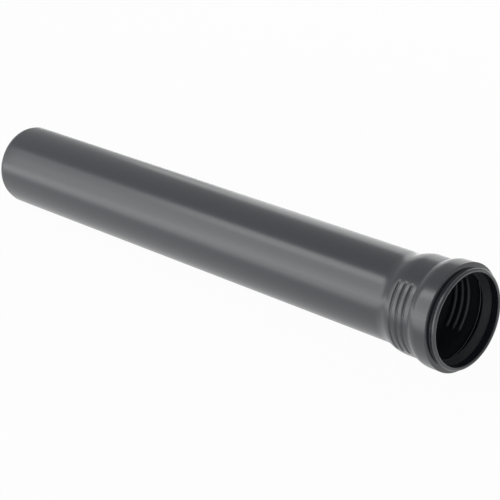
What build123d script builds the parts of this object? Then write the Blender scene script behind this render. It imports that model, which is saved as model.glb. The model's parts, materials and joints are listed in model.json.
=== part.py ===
from build123d import *
from math import atan2, radians, tan
import os

os.makedirs("parts", exist_ok=True)

# The pipe lies along X: the spigot's end face is at the origin and the socket's mouth is at +X.
# Every length is in millimetres.

# Barrel and spigot
pipe_diameter = 110.0
wall = 3.6
overall_length = 800.0
chamfer_length = 6.0  # measured along the spigot
chamfer_angle = 15.0
chamfer_blend = 3.0

# Bores of the socket, each as a gap round the spigot that enters it
guide_clearance = 0.6
entry_clearance = 2.0
seal_space = 6.7

# Lengths of the socket's stretches, one after another from the mouth inwards
lip_length = 4.4
neck_length = 2.9
shoulder_length = 1.9
chamber_length = 18.8
taper_length = 10.5
sleeve_length = 31.5
flare_length = 13.0

# Grooves pressed into both sides of the sleeve, which stand inside it as ribs that centre the spigot
groove_count = 3
groove_pitch = 9.2
groove_arc = 86.0  # degrees round the pipe, between the rounded ends
groove_depth = 1.2
groove_width = 3.8
groove_floor = 1.0
last_groove_from_flare = 5.3
rib_width = 3.6
rib_base = 5.6
press_overlap = 0.6  # how far each pressed shape runs past the wall's surface

# The neck's groove and the roundings of the formed wall
neck_depth = 1.6
lip_rounding = 1.7
shoulder_blend = 1.4
taper_blend = 12.0
taper_foot_blend = 2.5
flare_blend = 25.0

# Rubber seal
seal_clearance = 0.15
seal_length = 11.6  # of the body, on the chamber's wall
seal_body = 3.2
lip_squeeze = 2.7  # how far the lip stands inside the spigot's surface
lip_reach = 8.9  # from the end of the entry bore to the lip's edge
lip_thickness = 1.3
bead_length = 2.0
bead_step = 0.45

# Radii that follow from these
pipe_radius = pipe_diameter / 2
bore_radius = pipe_radius - wall
tip_radius = pipe_radius - chamfer_length * tan(radians(chamfer_angle))
guide_bore = pipe_radius + guide_clearance
sleeve_bore = guide_bore + groove_depth
sleeve_radius = sleeve_bore + wall
entry_bore = pipe_radius + entry_clearance
lip_radius = entry_bore + wall
neck_radius = lip_radius - neck_depth
chamber_bore = pipe_radius + seal_space
chamber_radius = chamber_bore + wall

# Stations along X, from the mouth back to the barrel
mouth = overall_length
lip_end = mouth - lip_length
neck_end = lip_end - neck_length
chamber_front = neck_end - shoulder_length
chamber_back = chamber_front - chamber_length
taper_foot = chamber_back - taper_length
sleeve_end = taper_foot - sleeve_length
flare_end = sleeve_end - flare_length


def mitre(thickness, run, rise):
    """Shift along X that keeps a wall's thickness where it turns from level into a slope."""
    return thickness * tan(atan2(rise, run) / 2)


# The same stations on the inside of the wall
flare_mitre = mitre(wall, flare_length, sleeve_radius - pipe_radius)
taper_mitre = mitre(wall, taper_length, chamber_radius - sleeve_radius)
shoulder_rise = chamber_radius - neck_radius
entry_end = neck_end - mitre(neck_radius - entry_bore, shoulder_length, shoulder_rise)
seal_front = chamber_front - mitre(wall, shoulder_length, shoulder_rise)
seal_room_back = chamber_back + taper_mitre
inner_taper_foot = taper_foot + taper_mitre
inner_sleeve_end = sleeve_end + flare_mitre
inner_flare_end = flare_end + flare_mitre

grooves = [sleeve_end + last_groove_from_flare + i * groove_pitch for i in range(groove_count)]


# The wall's section as corners of (x, radius, rounding), along the outside and back along the bore
outside = [
    (0, tip_radius, 0),
    (chamfer_length, pipe_radius, chamfer_blend),
    (flare_end, pipe_radius, flare_blend),
    (sleeve_end, sleeve_radius, flare_blend),
    (taper_foot, sleeve_radius, taper_foot_blend),
    (chamber_back, chamber_radius, taper_blend),
    (chamber_front, chamber_radius, shoulder_blend),
    (neck_end, neck_radius, 0),
    (lip_end, neck_radius, 0),
    (lip_end, lip_radius, 0),
    (mouth, lip_radius, lip_rounding),
]

inside = [
    (mouth, entry_bore, lip_rounding),
    (entry_end, entry_bore, 0),
    (seal_front, chamber_bore, 0),
    (seal_room_back, chamber_bore, taper_blend - wall),
    (inner_taper_foot, sleeve_bore, 0),
    (inner_sleeve_end, sleeve_bore, 0),
    (inner_flare_end, bore_radius, 0),
    (0, bore_radius, 0),
]
wall_section = outside + inside


def pressed_bar(narrow, wide, inner_radius, outer_radius):
    """Bar bent round the X axis over the top of the pipe, with a tapered section and rounded ends."""
    flank = (wide - narrow) / 2 / (outer_radius - inner_radius)
    top_radius = outer_radius + press_overlap
    top = wide / 2 + flank * press_overlap
    with BuildPart() as bar:
        with BuildSketch(Plane.XZ.rotated((groove_arc / 2, 0, 0))):
            with BuildLine():
                Polyline(
                    (-narrow / 2, inner_radius),
                    (narrow / 2, inner_radius),
                    (top, top_radius),
                    (-top, top_radius),
                    close=True,
                )
            make_face()
        revolve(axis=Axis.X, revolution_arc=-groove_arc)
        for side in (1, -1):
            end = Plane.XZ.rotated((side * groove_arc / 2, 0, 0))
            with BuildSketch(end):
                with BuildLine():
                    Polyline(
                        (0, inner_radius),
                        (narrow / 2, inner_radius),
                        (top, top_radius),
                        (0, top_radius),
                        close=True,
                    )
                make_face()
            revolve(axis=Axis((0, 0, 0), end.y_dir), revolution_arc=-side * 180)
    return bar.part


rib = pressed_bar(rib_width, rib_base, guide_bore, sleeve_bore)
groove = pressed_bar(groove_floor, groove_width, sleeve_radius - groove_depth, sleeve_radius)

with BuildPart() as pipe:
    with BuildSketch(Plane.XZ):
        with BuildLine():
            FilletPolyline(
                [(x, radius) for x, radius, rounding in wall_section],
                radius=[rounding for x, radius, rounding in wall_section],
                close=True,
            )
        make_face()
    revolve(axis=Axis.X)
    with Locations(*[Location((x, 0, 0), (turn, 0, 0)) for x in grooves for turn in (90, -90)]):
        add(rib)
        add(groove, mode=Mode.SUBTRACT)

# The seal's body lies on the chamber's wall behind the shoulder, and its lip leans in towards the axis
seal_outer = chamber_bore - seal_clearance
seal_inner = seal_outer - seal_body
lip_edge = pipe_radius - lip_squeeze
lip_tip = entry_end - lip_reach
seal_back = seal_front - seal_length
lip_root = lip_tip + bead_length

seal_section = [
    (entry_end - seal_clearance, entry_bore + seal_clearance),
    (seal_front - seal_clearance, seal_outer),
    (seal_back, seal_outer),
    (seal_back, seal_inner),
    (lip_root, seal_inner),
    (lip_root + lip_thickness, seal_inner - lip_thickness),
    (lip_tip, lip_edge + lip_thickness),
    (lip_tip, lip_edge),
    (lip_root, lip_edge),
    (lip_root, lip_edge + bead_step),
]

with BuildPart() as seal_ring:
    with BuildSketch(Plane.XZ):
        with BuildLine():
            Polyline(seal_section, close=True)
        make_face()
    revolve(axis=Axis.X)

pipe.part.label = "pipe"
seal_ring.part.label = "seal_ring"
export_step(pipe.part, "parts/pipe.step")
export_step(seal_ring.part, "parts/seal_ring.step")
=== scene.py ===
import bpy
import json
import math
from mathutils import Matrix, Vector


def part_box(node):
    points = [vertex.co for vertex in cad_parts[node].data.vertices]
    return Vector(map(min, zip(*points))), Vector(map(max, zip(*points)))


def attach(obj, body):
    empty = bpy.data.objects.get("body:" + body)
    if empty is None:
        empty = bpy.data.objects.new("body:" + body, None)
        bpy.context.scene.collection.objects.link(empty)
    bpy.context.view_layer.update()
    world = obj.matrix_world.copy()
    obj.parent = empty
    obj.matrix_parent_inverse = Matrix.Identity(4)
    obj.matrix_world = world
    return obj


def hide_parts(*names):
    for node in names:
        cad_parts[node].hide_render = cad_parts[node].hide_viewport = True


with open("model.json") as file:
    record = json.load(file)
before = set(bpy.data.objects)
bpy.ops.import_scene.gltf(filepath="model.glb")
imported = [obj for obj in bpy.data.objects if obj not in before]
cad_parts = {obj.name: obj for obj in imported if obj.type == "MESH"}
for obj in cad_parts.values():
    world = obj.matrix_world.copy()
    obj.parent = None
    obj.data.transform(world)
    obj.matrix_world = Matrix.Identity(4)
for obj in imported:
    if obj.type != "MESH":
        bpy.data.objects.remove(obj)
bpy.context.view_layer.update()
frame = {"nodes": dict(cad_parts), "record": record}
print("frame loaded:", ", ".join(sorted(frame["nodes"])))

mm = 0.001
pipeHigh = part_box("pipe")[1]
sealLow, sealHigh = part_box("seal_ring")
mounts = {mount["name"]: mount for mount in frame["record"]["mounts"]}


def mountRadius(name):
    return mounts[name]["dims"]["r_mm"] * mm


barrelRadius = mountRadius("spigot")
boreRadius = mountRadius("pipe_bore")
guideRadius = mountRadius("socket_guides")
wall = barrelRadius - boreRadius
chamberRadius = pipeHigh.z
mouth = pipeHigh.x


# Sections, turned about the X axis

turning = {
    "leastTurn": math.radians(0.5),  # a corner that turns less stays a plain point
    "mergeDistance": 0.001 * mm,
    "smoothAngle": math.radians(35),
}


def cornerArc(before, corner, after, rounding, form):
    # the points of the arc that rounds one corner of a section off
    inward, outward = (before - corner).normalized(), (after - corner).normalized()
    turn = math.pi - inward.angle(outward)
    if rounding == 0 or turn < turning["leastTurn"]:
        return [corner]
    tangent = rounding * math.tan(turn / 2)
    centre = corner + (inward + outward).normalized() * rounding / math.cos(turn / 2)
    start = corner + inward * tangent - centre
    side = 1 if inward.cross(outward) < 0 else -1
    pieces = max(2, math.ceil(turn / form["turnStep"]), math.ceil(turn * rounding / form["arcStep"]))
    points = []
    for k in range(pieces + 1):
        angle = side * turn * k / pieces
        spun = Vector((
            start.x * math.cos(angle) - start.y * math.sin(angle),
            start.x * math.sin(angle) + start.y * math.cos(angle),
        ))
        points.append(centre + spun)
    return points


def roundedOutline(corners, form, spanAt):
    # corners are (x, radius, rounding); gives the closed outline's points, at most spanAt(x) apart
    outline = []
    for i, (x, radius, rounding) in enumerate(corners):
        before = Vector(corners[i - 1][:2])
        after = Vector(corners[(i + 1) % len(corners)][:2])
        outline += cornerArc(before, Vector((x, radius)), after, rounding, form)
    points = []
    for here, there in zip(outline, outline[1:] + outline[:1]):
        parts = max(1, math.ceil((there - here).length / spanAt((here.x + there.x) / 2)))
        points += [here.lerp(there, k / parts) for k in range(parts)]
    return points


def turnedPiece(name, outline, around):
    bpy.ops.object.select_all(action="DESELECT")
    first = outline[0]
    bpy.ops.mesh.primitive_plane_add(size=mm, location=(first.x, 0, first.y))
    piece = bpy.context.object
    piece.name = piece.data.name = name
    bpy.ops.object.transform_apply(location=True, rotation=True, scale=True)
    bpy.ops.object.mode_set(mode="EDIT")
    bpy.ops.mesh.select_all(action="SELECT")
    bpy.ops.mesh.merge(type="CENTER")  # one vertex, from which the section is drawn
    for here, there in zip(outline, outline[1:] + outline[:1]):
        step = there - here
        bpy.ops.mesh.extrude_vertices_move(TRANSFORM_OT_translate={"value": (step.x, 0, step.y)})
    bpy.ops.mesh.select_all(action="SELECT")
    bpy.ops.mesh.remove_doubles(threshold=turning["mergeDistance"])
    bpy.ops.mesh.select_all(action="SELECT")
    bpy.ops.mesh.spin(steps=around, angle=math.tau, center=(0, 0, 0), axis=(1, 0, 0))
    bpy.ops.mesh.select_all(action="SELECT")
    bpy.ops.mesh.remove_doubles(threshold=turning["mergeDistance"])
    bpy.ops.mesh.normals_make_consistent(inside=False)
    bpy.ops.object.mode_set(mode="OBJECT")
    bpy.ops.object.shade_smooth_by_angle(angle=turning["smoothAngle"])
    print(name, "turned:", len(piece.data.vertices), "vertices")
    return piece


# The pipe: one formed wall from the spigot's chamfer to the socket's lip

pipeForm = {
    "around": 216,
    "turnStep": math.radians(9),  # the most that one edge of a rounded corner turns
    "arcStep": 1.2 * mm,  # and its greatest length
    "longestSpan": 25 * mm,  # of an edge along the pipe
    "sleeveSpan": 0.5 * mm,  # short enough for the grooves that are pressed into it
    "chamferLength": 6 * mm,
    "chamferAngle": math.radians(15),
    "chamferRounding": 3 * mm,
    "endRounding": 0.25 * mm,
    "flareLength": 17 * mm,
    "flareRounding": 50 * mm,
    "flareShift": 1.8 * mm,  # how far the soft flare reaches into the sleeve
    "sleeveLength": 31.5 * mm,
    "grooveCount": 3,
    "groovePitch": 9.2 * mm,
    "grooveArc": math.radians(86),  # on each side of the pipe, between the rounded ends
    "grooveDepth": 1.4 * mm,
    "grooveFloor": 0.8 * mm,
    "grooveFade": 2.3 * mm,  # from the floor's edge out to the sleeve's surface
    "grooveSlack": 0.1 * mm,
    "ribHeight": 1.5 * mm,
    "ribWidth": 1.6 * mm,
    "ribFade": 3 * mm,
    "taperLength": 8 * mm,
    "taperRounding": 25 * mm,
    "taperFootRounding": 2.5 * mm,
    "chamberLength": 21.3 * mm,
    "shoulderLength": 1.2 * mm,
    "shoulderRounding": 0.8 * mm,
    "neckLength": 4.4 * mm,
    "neckDepth": 1.6 * mm,
    "neckRounding": 0.4 * mm,
    "lipLength": 3.6 * mm,
    "lipInset": 1.5 * mm,  # how much smaller the thick lip's bore is than the entry mount's
    "lipWall": 4.7 * mm,
    "lipRounding": 2.4 * mm,
    "lipInnerRounding": 1.8 * mm,
    "innerRounding": 0.5 * mm,
    "seatLength": 14.4 * mm,  # of the chamber's bore, from the shoulder to the step behind the seal
    "stepLength": 0.8 * mm,
    "stepRounding": 1.2 * mm,
}


def mitre(thickness, run, rise):
    return thickness * math.tan(math.atan2(rise, run) / 2)  # keeps a wall's thickness round a bend


def pipeRadii(form):
    entry = mountRadius("socket_entry") - form["lipInset"]
    lip = entry + form["lipWall"]
    sleeveBore = guideRadius + form["ribHeight"]
    return {
        "entry": entry,
        "lip": lip,
        "neck": lip - form["neckDepth"],
        "chamberBore": chamberRadius - wall,
        "sleeveBore": sleeveBore,
        "sleeve": sleeveBore + wall,
        "tip": barrelRadius - form["chamferLength"] * math.tan(form["chamferAngle"]),
    }


def pipePlaces(form, radii):
    # along the axis, from the mouth back to the barrel
    lipEnd = mouth - form["lipLength"]
    neckEnd = lipEnd - form["neckLength"]
    chamberFront = neckEnd - form["shoulderLength"]
    chamberBack = chamberFront - form["chamberLength"]
    taperFoot = chamberBack - form["taperLength"]
    sleeveEnd = taperFoot - form["sleeveLength"]
    flareTop = sleeveEnd + form["flareShift"]
    shoulderRise = chamberRadius - radii["neck"]
    lipThickness = radii["neck"] - radii["entry"]
    return {
        "lipEnd": lipEnd,
        "neckEnd": neckEnd,
        "entryEnd": neckEnd - mitre(lipThickness, form["shoulderLength"], shoulderRise),
        "chamberFront": chamberFront,
        "sealFront": chamberFront - mitre(wall, form["shoulderLength"], shoulderRise),
        "chamberBack": chamberBack,
        "taperFoot": taperFoot,
        "sleeveEnd": sleeveEnd,
        "flareTop": flareTop,
        "flareEnd": flareTop - form["flareLength"],
    }


def pressSides(piece, form, surface, width, fade, share):
    # presses the short grooves into both sides of the sleeve, on the surface between two radii
    guides = mounts["socket_guides"]
    middle = (form["grooveCount"] - 1) / 2
    grooves = [
        guides["pos_m"][0] + (i - middle) * form["groovePitch"] for i in range(form["grooveCount"])
    ]
    low, high = surface
    bpy.ops.object.mode_set(mode="EDIT")
    bpy.ops.mesh.select_mode(type="VERT")
    bpy.ops.mesh.select_all(action="DESELECT")
    bpy.ops.object.mode_set(mode="OBJECT")
    for vertex in piece.data.vertices:
        x, y, z = vertex.co
        onFloor = any(abs(x - groove) < width / 2 + form["grooveSlack"] for groove in grooves)
        onSide = math.atan2(abs(z), abs(y)) < form["grooveArc"] / 2
        vertex.select = onFloor and onSide and low < math.hypot(y, z) < high
    bpy.ops.object.mode_set(mode="EDIT")
    bpy.ops.transform.resize(
        value=(1, share, share), center_override=(0, 0, 0), use_proportional_edit=True,
        proportional_edit_falloff="SMOOTH", proportional_size=fade,
    )
    bpy.ops.object.mode_set(mode="OBJECT")


def makePipe(form, radii, places):
    seatEnd = places["sealFront"] - form["seatLength"]
    flareMitre = mitre(wall, form["flareLength"], radii["sleeve"] - barrelRadius)
    outside = [
        (0, radii["tip"], form["endRounding"]),
        (form["chamferLength"], barrelRadius, form["chamferRounding"]),
        (places["flareEnd"], barrelRadius, form["flareRounding"]),
        (places["flareTop"], radii["sleeve"], form["flareRounding"]),
        (places["taperFoot"], radii["sleeve"], form["taperFootRounding"]),
        (places["chamberBack"], chamberRadius, form["taperRounding"]),
        (places["chamberFront"], chamberRadius, form["shoulderRounding"]),
        (places["neckEnd"], radii["neck"], form["neckRounding"]),
        (places["lipEnd"], radii["neck"], form["neckRounding"]),
        (places["lipEnd"], radii["lip"], form["neckRounding"]),
        (mouth, radii["lip"], form["lipRounding"]),
    ]
    inside = [
        (mouth, radii["entry"], form["lipInnerRounding"]),
        (places["entryEnd"], radii["entry"], form["innerRounding"]),
        (places["sealFront"], radii["chamberBore"], form["innerRounding"]),
        (seatEnd, radii["chamberBore"], form["innerRounding"]),
        (seatEnd - form["stepLength"], radii["sleeveBore"], form["stepRounding"]),
        (places["flareTop"] + flareMitre, radii["sleeveBore"], form["flareRounding"] - wall),
        (places["flareEnd"] + flareMitre, boreRadius, form["flareRounding"] + wall),
        (0, boreRadius, form["endRounding"]),
    ]

    def spanAt(x):
        onSleeve = places["sleeveEnd"] < x < places["taperFoot"]
        return form["sleeveSpan"] if onSleeve else form["longestSpan"]

    piece = turnedPiece("pipe_wall", roundedOutline(outside + inside, form, spanAt), form["around"])
    middle = (radii["sleeve"] + radii["sleeveBore"]) / 2
    grooveShare = (radii["sleeve"] - form["grooveDepth"]) / radii["sleeve"]
    pressSides(piece, form, (middle, math.inf), form["grooveFloor"], form["grooveFade"], grooveShare)
    ribShare = guideRadius / radii["sleeveBore"]
    pressSides(piece, form, (0, middle), form["ribWidth"], form["ribFade"], ribShare)
    print("sleeve pressed:", form["grooveCount"], "grooves on each side")
    return piece


radii = pipeRadii(pipeForm)
places = pipePlaces(pipeForm, radii)
pipe = makePipe(pipeForm, radii, places)
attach(pipe, "root")
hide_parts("pipe")


# The seal: a rubber ring on the chamber's wall, whose lip leans in towards the axis

sealForm = {
    "around": 192,
    "turnStep": math.radians(12),
    "arcStep": 1.2 * mm,
    "longestSpan": 5 * mm,
    "bodyThickness": 3.2 * mm,
    "clearance": 0.15 * mm,  # to the pipe's wall, at the front and round the collar
    "lipEdgeInset": 2.7 * mm,  # inside the radius of the spigot that enters
    "collarLength": 1.1 * mm,
    "lipReach": 11.2 * mm,
    "lipThickness": 1.3 * mm,
    "beadLength": 2 * mm,
    "beadStep": 0.45 * mm,
    "rounding": 0.5 * mm,
    "beadRounding": 0.3 * mm,
}


def makeSeal(form, radii, places):
    inner = sealHigh.z - form["bodyThickness"]
    lipEdge = barrelRadius - form["lipEdgeInset"]
    front = places["entryEnd"] - form["clearance"]
    lipTip = places["entryEnd"] - form["lipReach"]
    lipRoot = lipTip + form["beadLength"]
    collarRadius = radii["entry"] + form["clearance"]
    rounding, beadRounding = form["rounding"], form["beadRounding"]
    section = [
        (front, collarRadius, rounding),
        (places["sealFront"] - form["clearance"], sealHigh.z, rounding),
        (sealLow.x, sealHigh.z, rounding),
        (sealLow.x, inner, rounding),
        (lipRoot, inner, rounding),
        (lipRoot + form["lipThickness"], inner - form["lipThickness"], rounding),
        (lipTip, lipEdge + form["lipThickness"], beadRounding),
        (lipTip, lipEdge, beadRounding),
        (lipRoot, lipEdge, beadRounding),
        (lipRoot, lipEdge + form["beadStep"], 0),
        (front - form["collarLength"], collarRadius, rounding),
    ]
    outline = roundedOutline(section, form, lambda x: form["longestSpan"])
    return turnedPiece("lip_seal", outline, form["around"])


seal = makeSeal(sealForm, radii, places)
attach(seal, "root")
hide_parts("seal_ring")


# Materials

class Wire:
    # one output of a node, which can be used in sums
    def __init__(self, sheet, socket):
        self.sheet, self.socket = sheet, socket

    def __add__(self, other):
        return self.sheet.maths("ADD", self, other)

    def __radd__(self, other):
        return self.sheet.maths("ADD", other, self)

    def __sub__(self, other):
        return self.sheet.maths("SUBTRACT", self, other)

    def __rsub__(self, other):
        return self.sheet.maths("SUBTRACT", other, self)

    def __mul__(self, other):
        return self.sheet.maths("MULTIPLY", self, other)

    def __rmul__(self, other):
        return self.sheet.maths("MULTIPLY", other, self)


class NodeSheet:
    # the nodes of one material or world
    def __init__(self, owner):
        owner.use_nodes = True
        self.tree = owner.node_tree
        self.tree.nodes.clear()

    def add(self, kind, settings=None, inputs=None, output=0):
        node = self.tree.nodes.new(kind)
        for name, value in (settings or {}).items():
            setattr(node, name, value)
        for name, value in (inputs or {}).items():
            if isinstance(value, Wire):
                self.tree.links.new(value.socket, node.inputs[name])
            else:
                node.inputs[name].default_value = value
        return Wire(self, node.outputs[output]) if node.outputs else None

    def maths(self, operation, first, second):
        return self.add("ShaderNodeMath", {"operation": operation}, {0: first, 1: second})

    def between(self, value, low, high):
        # 0 below low, 1 above high, smooth in between
        return self.add(
            "ShaderNodeMapRange", {"interpolation_type": "SMOOTHSTEP"},
            {"Value": value, "From Min": low, "From Max": high},
        )

    def axis(self, point, letter):
        return self.add("ShaderNodeSeparateXYZ", {}, {0: point}, output=letter)

    def noise(self, point, fineness, detail):
        return self.add("ShaderNodeTexNoise", {}, {"Vector": point, "Scale": fineness, "Detail": detail})

    def bump(self, height, strength, depth):
        return self.add("ShaderNodeBump", {}, {"Height": height, "Strength": strength, "Distance": depth})

    def mixColours(self, share, first, second):
        inputs = {0: share, 6: first, 7: second}  # the sockets that a mix of colours uses
        return self.add("ShaderNodeMix", {"data_type": "RGBA"}, inputs, output=2)


def colour(red, green, blue):
    return (red, green, blue, 1)


noiseMiddle = 0.5  # about the mean of a noise, so that a spread goes both ways

plasticLook = {
    "base": colour(0.019, 0.0235, 0.033),
    "fleck": colour(0.024, 0.0285, 0.039),
    "specular": 0.9,
    "roughness": 0.24,
    "roughnessSpread": 0.05,
    "streakLength": 0.9,  # cycles per metre along the pipe, of the streaks that extrusion leaves
    "streakFineness": 260,  # and across it
    "streakDetail": 3,
    "grainSize": 900,
    "grainDetail": 4,
    "grainShare": 0.5,  # of the bump, and the streaks have the rest
    "grainHeight": 0.02 * mm,
    "bumpStrength": 0.12,
    "chamferRoughness": 0.46,
    "chamferFade": 0.6 * mm,
    "boreRoughness": 0.52,
    "boreEdges": (0.6, 0.4),  # depths as shares of the wall, between which the bore's finish fades out
    "boreEnds": (10 * mm, 4 * mm),  # distances behind the seal, between which it fades out too
}


def boreMask(sheet, point, look, places):
    # 1 on the pipe's inside behind the seal, also where the wall widens at the flare
    along = sheet.axis(point, "X")
    flattened = sheet.add("ShaderNodeMapping", {}, {"Vector": point, "Scale": (0, 1, 1)})
    radius = sheet.add("ShaderNodeVectorMath", {"operation": "LENGTH"}, {0: flattened}, output="Value")
    flared = sheet.between(along, places["flareEnd"], places["flareTop"])
    widening = flared * (guideRadius + wall - barrelRadius)
    deep, shallow = (barrelRadius - share * wall for share in look["boreEdges"])
    back, front = (sealLow.x - distance for distance in look["boreEnds"])
    inside = 1 - sheet.between(radius - widening, deep, shallow)
    return inside * (1 - sheet.between(along, back, front))


def plasticFinish(look, places):
    material = bpy.data.materials.new("pipePlastic")
    sheet = NodeSheet(material)
    point = sheet.add("ShaderNodeTexCoord", output="Object")
    stretch = (look["streakLength"], look["streakFineness"], look["streakFineness"])
    stretched = sheet.add("ShaderNodeMapping", {}, {"Vector": point, "Scale": stretch})
    streaks = sheet.noise(stretched, 1, look["streakDetail"])
    grain = sheet.noise(point, look["grainSize"], look["grainDetail"])
    chamferEnd = pipeForm["chamferLength"]
    cut = 1 - sheet.between(sheet.axis(point, "X"), chamferEnd, chamferEnd + look["chamferFade"])
    bore = boreMask(sheet, point, look, places)
    satin = look["roughness"] + (streaks - noiseMiddle) * look["roughnessSpread"]
    roughness = satin * (1 - cut) + look["chamferRoughness"] * cut
    roughness = roughness * (1 - bore) + look["boreRoughness"] * bore
    relief = grain * look["grainShare"] + streaks * (1 - look["grainShare"])
    shader = sheet.add("ShaderNodeBsdfPrincipled", {}, {
        "Base Color": sheet.mixColours(grain, look["base"], look["fleck"]),
        "Roughness": roughness,
        "Normal": sheet.bump(relief, look["bumpStrength"], look["grainHeight"]),
        "Specular IOR Level": look["specular"],
    })
    sheet.add("ShaderNodeOutputMaterial", {}, {"Surface": shader})
    return material


rubberLook = {
    "base": colour(0.045, 0.047, 0.052),
    "dust": colour(0.059, 0.062, 0.068),
    "roughness": 0.42,
    "roughnessSpread": 0.1,
    "grainSize": 700,
    "grainDetail": 3,
    "grainHeight": 0.03 * mm,
    "bumpStrength": 0.2,
}


def rubberFinish(look):
    material = bpy.data.materials.new("sealRubber")
    sheet = NodeSheet(material)
    point = sheet.add("ShaderNodeTexCoord", output="Object")
    grain = sheet.noise(point, look["grainSize"], look["grainDetail"])
    shader = sheet.add("ShaderNodeBsdfPrincipled", {}, {
        "Base Color": sheet.mixColours(grain, look["base"], look["dust"]),
        "Roughness": look["roughness"] + (grain - noiseMiddle) * look["roughnessSpread"],
        "Normal": sheet.bump(grain, look["bumpStrength"], look["grainHeight"]),
    })
    sheet.add("ShaderNodeOutputMaterial", {}, {"Surface": shader})
    return material


def paint(piece, material):
    piece.data.materials.clear()
    piece.data.materials.append(material)


paint(pipe, plasticFinish(plasticLook, places))
paint(seal, rubberFinish(rubberLook))
print("materials made")


# Studio: a floor that the chamber and the spigot touch, a white surround, soft lamps round the axis

floorLook = {
    "size": 14,
    "shade": 0.8,
    "glow": 0.97,  # share of plain white in what the camera sees of the floor
    "gain": 1.3,  # how much more the floor shines away from the pipe, in reflections
    "gainBeside": (0.15, 0.33),  # distances from the axis between which that gain comes in
    "gainBeyond": (0.8, 1.1),  # places along the axis between which it goes again
}


def makeFloor(look, places):
    chamferEnd = pipeForm["chamferLength"]
    tilt = math.atan2(chamberRadius - barrelRadius, places["chamberBack"] - chamferEnd)
    underSpigot = (chamferEnd, 0, -barrelRadius)
    bpy.ops.object.select_all(action="DESELECT")
    bpy.ops.mesh.primitive_plane_add(size=look["size"], location=underSpigot, rotation=(0, tilt, 0))
    floor = bpy.context.object
    floor.name = "floor"
    material = bpy.data.materials.new("studioFloor")
    sheet = NodeSheet(material)
    shade = look["shade"]
    matt = sheet.add("ShaderNodeBsdfDiffuse", {}, {"Color": colour(shade, shade, shade)})
    glossy = sheet.add("ShaderNodeLightPath", output="Is Glossy Ray")
    seen = sheet.add("ShaderNodeLightPath", output="Is Camera Ray") + glossy \
        + sheet.add("ShaderNodeLightPath", output="Is Transmission Ray")
    position = sheet.add("ShaderNodeNewGeometry", output="Position")
    across = sheet.maths("ABSOLUTE", sheet.axis(position, "Y"), 0)
    away = sheet.between(across, *look["gainBeside"]) \
        * (1 - sheet.between(sheet.axis(position, "X"), *look["gainBeyond"]))
    glow = sheet.add("ShaderNodeEmission", {}, {"Strength": 1 + glossy * away * look["gain"]})
    mixed = sheet.add("ShaderNodeMixShader", {}, {0: seen * look["glow"], 1: matt, 2: glow})
    sheet.add("ShaderNodeOutputMaterial", {}, {"Surface": mixed})
    paint(floor, material)


surroundLook = {
    "diffuse": 0.28,  # strength for matt surfaces
    "glossy": 0.61,  # and in reflections
    "horizonGain": 0.16,  # added to reflections low down
    "horizonHeights": (0.05, 0.5),  # between which that gain fades out
    "rightShade": 0.5,  # how much darker reflections are from beyond the mouth
    "rightEdges": (0.65, 0.95),  # between which that shade comes in
}


def makeSurround(look):
    world = bpy.data.worlds.new("surround")
    bpy.context.scene.world = world
    sheet = NodeSheet(world)
    heading = sheet.add("ShaderNodeTexCoord", output="Generated")
    low = 1 - sheet.between(sheet.axis(heading, "Z"), *look["horizonHeights"])
    unlit = sheet.between(sheet.axis(heading, "X"), *look["rightEdges"])
    camera = sheet.add("ShaderNodeLightPath", output="Is Camera Ray")
    glossy = sheet.add("ShaderNodeLightPath", output="Is Glossy Ray")
    reflected = (low * look["horizonGain"] + look["glossy"]) * (1 - unlit * look["rightShade"])
    strength = camera + glossy * reflected + (1 - camera - glossy) * look["diffuse"]
    back = sheet.add("ShaderNodeBackground", {}, {"Color": colour(1, 1, 1), "Strength": strength})
    sheet.add("ShaderNodeOutputWorld", {}, {"Surface": back})


# Each lamp is a strip along the pipe, from left to right. Low and high are its edges, in degrees
# round the axis, from level on the -Y side upwards. The level is its brightness at any size.
lampRig = {
    "distance": 1.8,  # from the axis
    "right": 0.5,
    "lamps": [
        {"name": "frontSoftbox", "low": -2, "high": 38, "left": -2.4, "level": 1.32},
        {"name": "frontStrip", "low": -2, "high": 16, "left": -1.35, "level": 0.35},
        {"name": "upperSoftbox", "low": 38, "high": 57, "left": -2.4, "level": 0.95},
        {"name": "upperStrip", "low": 41, "high": 57, "left": -1.35, "level": 1.5},
        {"name": "rearSoftbox", "low": 140, "high": 158, "left": -1.65, "level": 1},
        {"name": "rearStrip", "low": 158, "high": 176, "left": -1.3, "level": 0.8},
    ],
}


def addLamp(lamp, distance, right):
    middle = math.radians((lamp["low"] + lamp["high"]) / 2)
    half = math.radians((lamp["high"] - lamp["low"]) / 2)
    centre = (lamp["left"] + right) / 2
    place = (centre, -distance * math.cos(middle), distance * math.sin(middle))
    bpy.ops.object.light_add(type="AREA", location=place, rotation=(math.pi / 2 - middle, 0, 0))
    light = bpy.context.object
    light.name = lamp["name"]
    light.data.shape = "RECTANGLE"
    light.data.size = right - lamp["left"]
    light.data.size_y = 2 * distance * math.tan(half)
    light.data.energy = lamp["level"] * math.pi * light.data.size * light.data.size_y
    light.visible_camera = False


makeFloor(floorLook, places)
makeSurround(surroundLook)
for lamp in lampRig["lamps"]:
    addLamp(lamp, lampRig["distance"], lampRig["right"])
print("studio lit with", len(lampRig["lamps"]), "lamps")


# Camera, at the photograph's angle

viewpoint = {
    "place": (1.85067, -1.37074, 0.73393),
    "azimuth": math.radians(45.6086),
    "elevation": math.radians(20.804),
    "lens": 119.515,
    "sensor": 36,
    "farthest": 50,  # how far the camera sees
}


def addCamera(view):
    bpy.ops.object.camera_add(location=view["place"])
    camera = bpy.context.object
    camera.rotation_euler = (math.pi / 2 - view["elevation"], 0, view["azimuth"])
    camera.data.sensor_width = view["sensor"]
    camera.data.lens = view["lens"]
    camera.data.clip_end = view["farthest"]
    bpy.context.scene.camera = camera


addCamera(viewpoint)
bpy.context.scene.view_settings.view_transform = "Standard"
print("camera placed")
